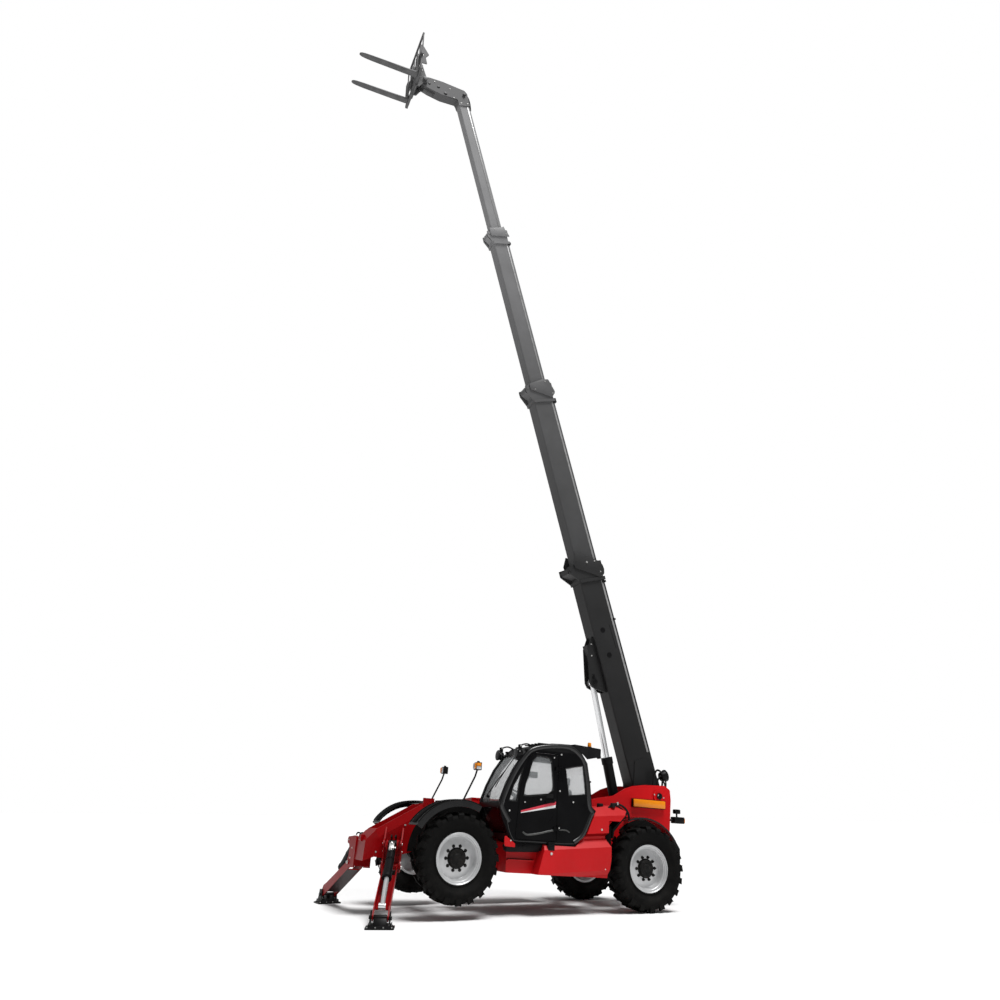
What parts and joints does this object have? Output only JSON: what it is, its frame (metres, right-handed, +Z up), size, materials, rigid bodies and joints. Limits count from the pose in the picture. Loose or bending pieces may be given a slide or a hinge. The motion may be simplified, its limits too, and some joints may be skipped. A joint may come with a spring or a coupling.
{
  "type": "telescopic handler with front stabilisers",
  "caption": "Four-wheel telescopic handler with a raised, extended boom, fork carriage, side cab and lowered front stabilisers.",
  "frame": {"origin": "centre of the whole machine's footprint box, on the ground", "axes": "+X to the front, +Y to the cab side (left), +Z up"},
  "size_m": [6.706, 3.5009, 16.9298],
  "materials": {
    "black_plastic": "textured black moulding",
    "black_steel": "satin black paint",
    "boom_black": "satin black paint",
    "cab_black": "satin black paint",
    "chrome": "hard chrome",
    "engine_iron": "cast grey",
    "fork_black": "worn black paint",
    "glass": "lightly tinted",
    "red_frame": "satin red paint",
    "red_hood": "gloss red moulding",
    "red_panel": "gloss red paint",
    "rim_silver": "silver paint",
    "seat_fabric": "black woven cloth",
    "tyre": "matte rubber"
  },
  "bodies": {
    "chassis": {"main_frame": "red_frame", "axle_beams": "black_steel", "cab_shell": "cab_black", "cab_roof": "black_plastic", "cab_windows": "glass", "operator_seat": "seat_fabric", "cab_controls": "black_plastic", "mudguards": "black_plastic", "engine_bay": "red_panel", "engine_block": "engine_iron", "side_tank": "red_panel", "counterweight": "black_steel"},
    "boom_base": {"boom_section_1": "boom_black"},
    "boom_second": {"boom_section_2": "boom_black"},
    "boom_third": {"boom_section_3": "boom_black"},
    "boom_fourth": {"boom_section_4": "boom_black"},
    "carriage": {"fork_carriage": "fork_black", "fork_tines": "fork_black"},
    "lift_barrel": {"lift_cylinder_barrel": "black_steel"},
    "lift_rod": {"lift_cylinder_rod": "chrome"},
    "tilt_barrel": {"tilt_cylinder_barrel": "black_steel"},
    "tilt_rod": {"tilt_cylinder_rod": "chrome"},
    "cab_door": {"cab_door": "cab_black", "door_window": "glass"},
    "engine_hood": {"engine_hood": "red_hood"},
    "knuckle_front_left": {"knuckle_front_left": "black_steel"},
    "wheel_front_left": {"rim_front_left": "rim_silver", "tyre_front_left": "tyre"},
    "knuckle_front_right": {"knuckle_front_right": "black_steel"},
    "wheel_front_right": {"rim_front_right": "rim_silver", "tyre_front_right": "tyre"},
    "knuckle_rear_left": {"knuckle_rear_left": "black_steel"},
    "wheel_rear_left": {"rim_rear_left": "rim_silver", "tyre_rear_left": "tyre"},
    "knuckle_rear_right": {"knuckle_rear_right": "black_steel"},
    "wheel_rear_right": {"rim_rear_right": "rim_silver", "tyre_rear_right": "tyre"},
    "stabiliser_leg_left": {"stabiliser_leg_left": "black_steel"},
    "stabiliser_barrel_left": {"stabiliser_barrel_left": "black_steel"},
    "stabiliser_rod_left": {"stabiliser_rod_left": "chrome"},
    "stabiliser_pad_left": {"stabiliser_pad_left": "black_steel"},
    "stabiliser_leg_right": {"stabiliser_leg_right": "black_steel"},
    "stabiliser_barrel_right": {"stabiliser_barrel_right": "black_steel"},
    "stabiliser_rod_right": {"stabiliser_rod_right": "chrome"},
    "stabiliser_pad_right": {"stabiliser_pad_right": "black_steel"}
  },
  "joints": [
    {"name": "boom_lift", "type": "hinge", "parent": "chassis", "child": "boom_base", "pos_m": [-2.82104, 0, 1.64814], "axis": [0, -1, 0], "range_deg": [-75, 0]},
    {"name": "boom_extend", "type": "slide", "parent": "boom_base", "child": "boom_second", "axis": [0.2544, 0, 0.9671], "range_m": [-3.2, 0]},
    {"name": "boom_extend_third", "type": "slide", "parent": "boom_second", "child": "boom_third", "axis": [0.2544, 0, 0.9671], "range_m": [-3.2, 0]},
    {"name": "boom_extend_fourth", "type": "slide", "parent": "boom_third", "child": "boom_fourth", "axis": [0.2544, 0, 0.9671], "range_m": [-3.2, 0]},
    {"name": "lift_barrel_swing", "type": "hinge", "parent": "chassis", "child": "lift_barrel", "pos_m": [-2.32942, 0, 0.99725], "axis": [0, -1, 0], "range_deg": [-72.37, 0.5]},
    {"name": "lift_rod_stroke", "type": "slide", "parent": "lift_barrel", "child": "lift_rod", "axis": [0.1816, 0, 0.9834], "range_m": [-0.992, 0.005]},
    {"name": "carriage_tilt", "type": "hinge", "parent": "boom_fourth", "child": "carriage", "pos_m": [1.87295, 0, 16.10976], "axis": [0, 1, 0], "range_deg": [-87.3, 38.7]},
    {"name": "tilt_barrel_swing", "type": "hinge", "parent": "boom_fourth", "child": "tilt_barrel", "pos_m": [0.9583, 0, 16.09189], "axis": [0, -1, 0], "range_deg": [-0.59, 0.71]},
    {"name": "tilt_rod_stroke", "type": "slide", "parent": "tilt_barrel", "child": "tilt_rod", "axis": [0.9749, 0, 0.2224], "range_m": [-0.2622, 0.119]},
    {"name": "front_steer", "type": "hinge", "parent": "chassis", "child": "knuckle_front_left", "pos_m": [0.97818, 0.74, 0.76923], "axis": [-0.0551, 0, 0.9985], "range_deg": [-35, 35]},
    {"name": "spin_front_left", "type": "hinge", "parent": "knuckle_front_left", "child": "wheel_front_left", "pos_m": [0.97818, 1.01, 0.76923], "axis": [0, 1, 0], "continuous": true},
    {"name": "front_steer_right", "type": "hinge", "parent": "chassis", "child": "knuckle_front_right", "pos_m": [0.97818, -0.74, 0.76923], "axis": [-0.0551, 0, 0.9985], "range_deg": [-35.5, 35.5]},
    {"name": "spin_front_right", "type": "hinge", "parent": "knuckle_front_right", "child": "wheel_front_right", "pos_m": [0.97818, -1.01, 0.76923], "axis": [0, 1, 0], "continuous": true},
    {"name": "rear_steer", "type": "hinge", "parent": "chassis", "child": "knuckle_rear_left", "pos_m": [-2.08715, 0.74, 0.6], "axis": [-0.0551, 0, 0.9985], "range_deg": [-35, 35]},
    {"name": "spin_rear_left", "type": "hinge", "parent": "knuckle_rear_left", "child": "wheel_rear_left", "pos_m": [-2.08715, 1.01, 0.6], "axis": [0, 1, 0], "continuous": true},
    {"name": "rear_steer_right", "type": "hinge", "parent": "chassis", "child": "knuckle_rear_right", "pos_m": [-2.08715, -0.74, 0.6], "axis": [-0.0551, 0, 0.9985], "range_deg": [-35.5, 35.5]},
    {"name": "spin_rear_right", "type": "hinge", "parent": "knuckle_rear_right", "child": "wheel_rear_right", "pos_m": [-2.08715, -1.01, 0.6], "axis": [0, 1, 0], "continuous": true},
    {"name": "cab_door_swing", "type": "hinge", "parent": "chassis", "child": "cab_door", "pos_m": [-0.57913, 1.15, 1.58463], "axis": [-0.0551, 0, 0.9985], "range_deg": [0, 90]},
    {"name": "engine_hood_lift", "type": "hinge", "parent": "chassis", "child": "engine_hood", "pos_m": [-0.5969, -0.552, 1.54358], "axis": [-0.9985, 0, -0.0551], "range_deg": [0, 60]},
    {"name": "stabiliser_swing_left", "type": "hinge", "parent": "chassis", "child": "stabiliser_leg_left", "pos_m": [1.74695, 0.45, 0.6314], "axis": [-0.9446, 0.3239, -0.0522], "range_deg": [-85, 0]},
    {"name": "stabiliser_barrel_swing_left", "type": "hinge", "parent": "chassis", "child": "stabiliser_barrel_left", "pos_m": [1.76114, 0.53988, 0.93264], "axis": [-0.9446, 0.3239, -0.0522], "range_deg": [-97.33, 0.5]},
    {"name": "stabiliser_rod_stroke_left", "type": "slide", "parent": "stabiliser_barrel_left", "child": "stabiliser_rod_left", "axis": [0.2916, 0.756, -0.586], "range_m": [-0.3788, 0.005]},
    {"name": "stabiliser_pad_swing_left", "type": "hinge", "parent": "stabiliser_leg_left", "child": "stabiliser_pad_left", "pos_m": [2.14982, 1.54244, 0.11929], "axis": [0.9446, -0.3239, 0.0522], "range_deg": [-30, 30]},
    {"name": "stabiliser_swing_right", "type": "hinge", "parent": "chassis", "child": "stabiliser_leg_right", "pos_m": [2.02053, -0.45, 0.6465], "axis": [0.9932, 0.1028, 0.0548], "range_deg": [-85, 0]},
    {"name": "stabiliser_barrel_swing_right", "type": "hinge", "parent": "chassis", "child": "stabiliser_barrel_right", "pos_m": [2.01375, -0.5445, 0.94659], "axis": [0.9932, 0.1028, 0.0548], "range_deg": [-97.33, 0.5]},
    {"name": "stabiliser_rod_stroke_right", "type": "slide", "parent": "stabiliser_barrel_right", "child": "stabiliser_rod_right", "axis": [0.1152, -0.7949, -0.5957], "range_m": [-0.3788, 0.005]},
    {"name": "stabiliser_pad_swing_right", "type": "hinge", "parent": "stabiliser_leg_right", "child": "stabiliser_pad_right", "pos_m": [2.16846, -1.59858, 0.12032], "axis": [-0.9932, -0.1028, -0.0548], "range_deg": [-30, 30]}
  ],
  "couplings": [
    {"joint": "boom_extend_third", "follows": "boom_extend", "ratio": 1},
    {"joint": "boom_extend_fourth", "follows": "boom_extend", "ratio": 1},
    {"joint": "lift_barrel_swing", "follows": "boom_lift", "ratio": 0.95821},
    {"joint": "lift_rod_stroke", "follows": "boom_lift", "m_per_rad": 0.75404},
    {"joint": "tilt_barrel_swing", "follows": "carriage_tilt", "ratio": -0.00238},
    {"joint": "tilt_rod_stroke", "follows": "carriage_tilt", "m_per_rad": 0.16883},
    {"joint": "front_steer_right", "follows": "front_steer", "ratio": 1},
    {"joint": "rear_steer_right", "follows": "rear_steer", "ratio": 1},
    {"joint": "stabiliser_barrel_swing_left", "follows": "stabiliser_swing_left", "ratio": 1.1391},
    {"joint": "stabiliser_rod_stroke_left", "follows": "stabiliser_swing_left", "m_per_rad": 0.25194},
    {"joint": "stabiliser_barrel_swing_right", "follows": "stabiliser_swing_right", "ratio": 1.1391},
    {"joint": "stabiliser_rod_stroke_right", "follows": "stabiliser_swing_right", "m_per_rad": 0.25194}
  ]
}
